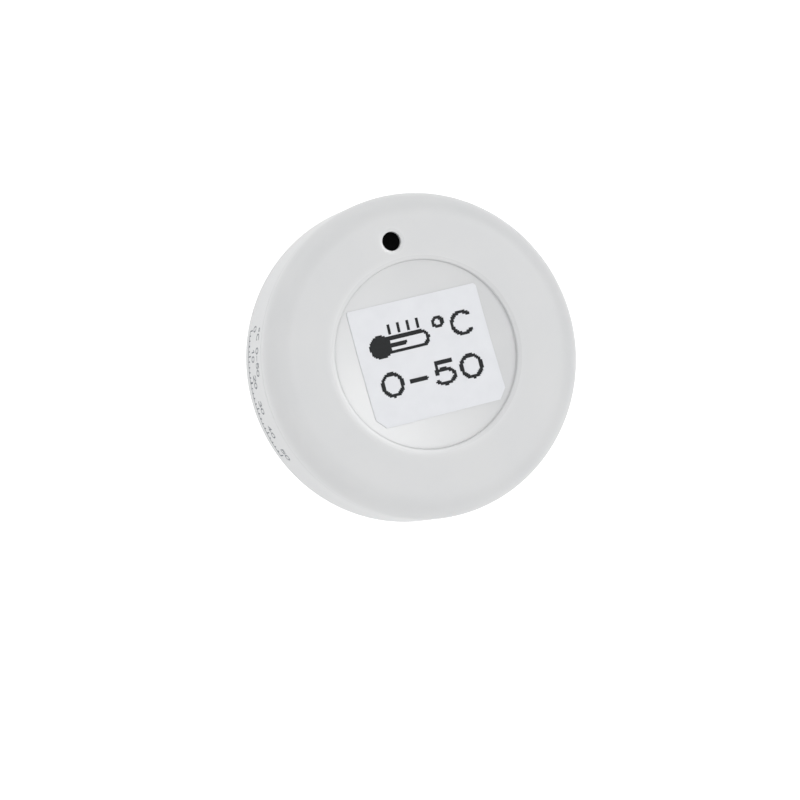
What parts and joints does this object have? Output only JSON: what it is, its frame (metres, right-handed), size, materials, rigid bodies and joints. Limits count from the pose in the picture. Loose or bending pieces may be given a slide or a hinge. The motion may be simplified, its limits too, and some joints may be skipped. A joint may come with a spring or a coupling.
{
  "type": "temperature sensor",
  "caption": "Round wireless temperature sensor: a white domed puck with a dished label pocket, a small sensing port, and a rear cup that unscrews with a coin to reach the coin cell.",
  "frame": {"origin": "centre of the flat back, where the sensor stands on a surface", "axes": "+Z runs from the back out through the face; the sensing port lies towards +Y"},
  "size_m": [0.036, 0.036, 0.01],
  "materials": {
    "housing_plastic": "satin moulded plastic",
    "seal_rubber": "soft black rubber",
    "pad_foam": "closed-cell foam",
    "label_paper": "printed matte paper label",
    "boot_rubber": "black rubber",
    "bead_glass": "glass bead",
    "lead_wire": "tinned wire",
    "board_laminate": "green solder mask",
    "screw_steel": "zinc-plated steel",
    "cell_steel": "bright nickel-plated steel",
    "cell_lid": "bright metal lid with its filling",
    "cell_gasket": "plastic gasket",
    "holder_plastic": "black moulded plastic",
    "contact_metal": "nickel-plated spring strip",
    "chip_package": "black moulded package",
    "crystal_metal": "metal can",
    "antenna_ceramic": "white ceramic",
    "inductor_body": "dark moulded body",
    "capacitor_ceramic": "brown ceramic",
    "resistor_film": "black film on ceramic",
    "chip_tin": "tinned ends"
  },
  "bodies": {
    "housing": {"front_shell": "housing_plastic", "face_label": "label_paper", "sensor_boot": "boot_rubber", "thermistor_bead": "bead_glass", "thermistor_leads": "lead_wire", "circuit_board": "board_laminate", "board_screws": "screw_steel", "cell_can": "cell_steel", "cell_gasket": "cell_gasket", "cell_lid": "cell_lid", "cell_holder": "holder_plastic", "positive_contact": "contact_metal", "negative_contact": "contact_metal", "radio_chip": "chip_package", "memory_chip": "chip_package", "main_crystal": "crystal_metal", "clock_crystal": "crystal_metal", "chip_antenna": "antenna_ceramic", "power_inductor": "inductor_body", "tank_capacitor": "capacitor_ceramic", "wake_switch": "chip_package", "wake_switch_legs": "chip_tin", "chip_capacitors": "capacitor_ceramic", "chip_resistors": "resistor_film", "chip_terminals": "chip_tin"},
    "seal": {"seal_ring": "seal_rubber"},
    "cup": {"rear_cup": "housing_plastic", "pressure_pad": "pad_foam"}
  },
  "joints": [
    {"name": "cup_travel", "type": "slide", "parent": "housing", "child": "seal", "axis": [0, 0, -1], "range_m": [0, 0.00225]},
    {"name": "cup_turn", "type": "hinge", "parent": "seal", "child": "cup", "pos_m": [0, 0, 0], "axis": [0, 0, -1], "range_deg": [0, 540]}
  ],
  "couplings": [
    {"joint": "cup_travel", "follows": "cup_turn", "m_per_rad": 0.00023873}
  ]
}
